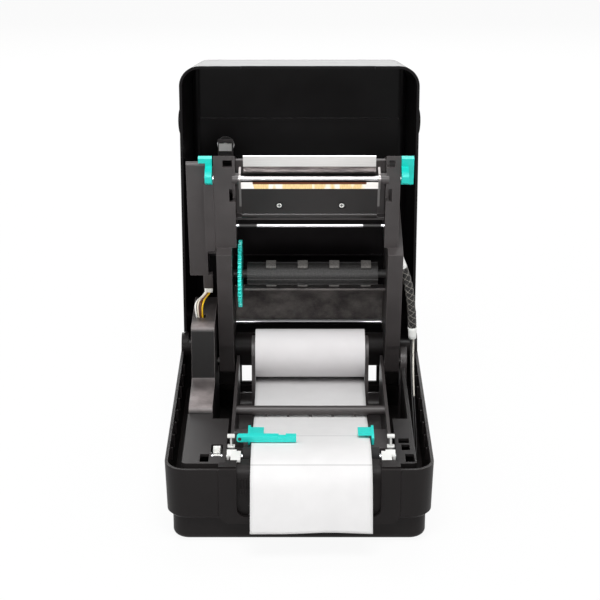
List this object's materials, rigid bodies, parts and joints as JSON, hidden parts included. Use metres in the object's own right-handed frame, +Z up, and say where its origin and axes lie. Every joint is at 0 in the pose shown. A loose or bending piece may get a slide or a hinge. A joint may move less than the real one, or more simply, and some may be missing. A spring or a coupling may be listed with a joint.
{
  "type": "label printer",
  "caption": "Desktop thermal-transfer label printer, lid and ribbon carriage open, with platen drive, sliding roll holders, ribbon spindles and a web of labels over the front.",
  "frame": {"origin": "middle of the case's footprint, on the plane that the feet stand on", "axes": "+X to the right seen from the front, +Y to the back, +Z up"},
  "size_m": [0.226, 0.4103, 0.3425],
  "materials": {
    "black_case": "fine moulded texture",
    "black_lid": "fine moulded texture",
    "black_frame": "satin moulding",
    "turquoise": "satin moulding",
    "white_plastic": "natural acetal",
    "paper": "matt label stock",
    "core_board": "plain board",
    "steel": "bright drawn",
    "motor_steel": "dull black",
    "aluminium": "bright sheet",
    "head_black": "black anodised",
    "ceramic": "glazed strip with gold tracks",
    "rubber": "matt",
    "board": "glass-fibre board",
    "sleeve": "braided sleeve",
    "wire": "insulated wires"
  },
  "bodies": {
    "base": {"lower_case": "black_case", "middle_case": "black_case", "front_panel": "black_case", "left_deck": "black_frame", "right_deck": "black_frame", "left_pillar": "black_frame", "right_hinge_post": "black_frame", "media_bay": "black_frame", "rubber_feet": "rubber", "case_screws": "steel", "guide_bar": "black_frame", "platen_bushings": "white_plastic", "head_posts": "white_plastic", "label_web": "paper", "main_board": "board", "power_inlet": "black_frame", "data_socket": "steel", "feed_motor": "motor_steel", "motor_bracket": "steel", "hinge_pins": "steel", "motor_wires": "wire", "head_cable": "sleeve"},
    "lid": {"lid_shell": "black_lid", "key_bracket": "black_frame"},
    "feed_key": {"feed_key": "white_plastic"},
    "power_rocker": {"power_rocker": "black_frame"},
    "platen": {"platen_shaft": "steel", "platen_rubber": "rubber", "platen_gear": "white_plastic"},
    "idler": {"idler_gear": "white_plastic"},
    "feed_pinion": {"motor_pinion": "steel"},
    "roll": {"label_roll": "paper", "roll_core": "core_board"},
    "left_holder": {"left_roll_holder": "black_frame"},
    "right_holder": {"right_roll_holder": "black_frame"},
    "left_guide": {"left_media_guide": "turquoise"},
    "right_guide": {"right_media_guide": "turquoise"},
    "sensor": {"sensor_arm": "turquoise"},
    "carriage": {"left_frame": "black_frame", "right_frame": "black_frame", "gearbox_cover": "black_frame", "heat_sink": "head_black", "head_ceramic": "ceramic", "head_end_plates": "aluminium", "head_screws": "steel", "head_bridge": "black_frame", "head_springs": "steel", "ribbon_guide_rod": "steel", "ribbon_guide_plate": "aluminium", "cross_rod": "steel", "ribbon_partition": "black_frame", "ribbon_motor": "motor_steel"},
    "supply": {"supply_spindle": "black_frame", "supply_wheel": "turquoise"},
    "take_up": {"take_up_spindle": "black_frame", "take_up_gear": "white_plastic"},
    "ribbon_drive": {"ribbon_pinion": "steel"},
    "latch": {"latch_rod": "steel", "left_latch_lever": "turquoise", "right_latch_lever": "turquoise"}
  },
  "joints": [
    {"name": "lid_hinge", "type": "hinge", "parent": "base", "child": "lid", "pos_m": [0, 0.1302, 0.07], "axis": [-1, 0, 0], "range_deg": [-92.2, 0]},
    {"name": "carriage_hinge", "type": "hinge", "parent": "base", "child": "carriage", "pos_m": [0, 0.0917, 0.07], "axis": [-1, 0, 0], "range_deg": [-74.6, 0], "deforming": ["motor_wires", "head_cable"]},
    {"name": "release_latch", "type": "hinge", "parent": "carriage", "child": "latch", "pos_m": [0, 0.0448, 0.26474], "axis": [-1, 0, 0], "range_deg": [0, 8], "stiffness_Nm_per_rad": 0.6},
    {"name": "supply_spin", "type": "hinge", "parent": "carriage", "child": "supply", "pos_m": [0, 0.0971, 0.15582], "axis": [1, 0, 0], "continuous": true},
    {"name": "take_up_spin", "type": "hinge", "parent": "carriage", "child": "take_up", "pos_m": [0, 0.0925, 0.24033], "axis": [1, 0, 0], "continuous": true},
    {"name": "ribbon_pinion_spin", "type": "hinge", "parent": "carriage", "child": "ribbon_drive", "pos_m": [0, 0.08883, 0.21863], "axis": [1, 0, 0], "continuous": true},
    {"name": "platen_spin", "type": "hinge", "parent": "base", "child": "platen", "pos_m": [0, -0.1043, 0.0635], "axis": [1, 0, 0], "continuous": true},
    {"name": "idler_spin", "type": "hinge", "parent": "base", "child": "idler", "pos_m": [0, -0.08747, 0.05127], "axis": [1, 0, 0], "continuous": true},
    {"name": "feed_pinion_spin", "type": "hinge", "parent": "base", "child": "feed_pinion", "pos_m": [0, -0.07132, 0.04664], "axis": [1, 0, 0], "continuous": true},
    {"name": "roll_spin", "type": "hinge", "parent": "base", "child": "roll", "pos_m": [0, 0.078, 0.0835], "axis": [1, 0, 0], "continuous": true},
    {"name": "left_holder_slide", "type": "slide", "parent": "base", "child": "left_holder", "axis": [-1, 0, 0], "range_m": [0, 0.011]},
    {"name": "right_holder_slide", "type": "slide", "parent": "base", "child": "right_holder", "axis": [1, 0, 0], "range_m": [0, 0.011]},
    {"name": "left_guide_slide", "type": "slide", "parent": "base", "child": "left_guide", "axis": [-1, 0, 0], "range_m": [0, 0.0075]},
    {"name": "right_guide_slide", "type": "slide", "parent": "base", "child": "right_guide", "axis": [1, 0, 0], "range_m": [0, 0.0075]},
    {"name": "sensor_lift", "type": "hinge", "parent": "base", "child": "sensor", "pos_m": [-0.0509, -0.0911, 0.0754], "axis": [0, -1, 0], "range_deg": [0, 60]},
    {"name": "power_rock", "type": "hinge", "parent": "base", "child": "power_rocker", "pos_m": [0.0935, 0.1375, 0.0425], "axis": [0, 0, 1], "range_deg": [0, 10]},
    {"name": "feed_key_press", "type": "slide", "parent": "lid", "child": "feed_key", "axis": [0, -0.9993, 0.0384], "range_m": [0, 0.0012], "stiffness_N_per_m": 400}
  ],
  "couplings": [
    {"joint": "carriage_hinge", "follows": "lid_hinge", "ratio": 0.80911},
    {"joint": "ribbon_pinion_spin", "follows": "take_up_spin", "ratio": -4},
    {"joint": "idler_spin", "follows": "platen_spin", "ratio": -0.73333},
    {"joint": "feed_pinion_spin", "follows": "platen_spin", "ratio": 1.8333},
    {"joint": "roll_spin", "follows": "platen_spin", "ratio": -0.37778},
    {"joint": "right_holder_slide", "follows": "left_holder_slide", "ratio": 1},
    {"joint": "right_guide_slide", "follows": "left_guide_slide", "ratio": 1}
  ]
}
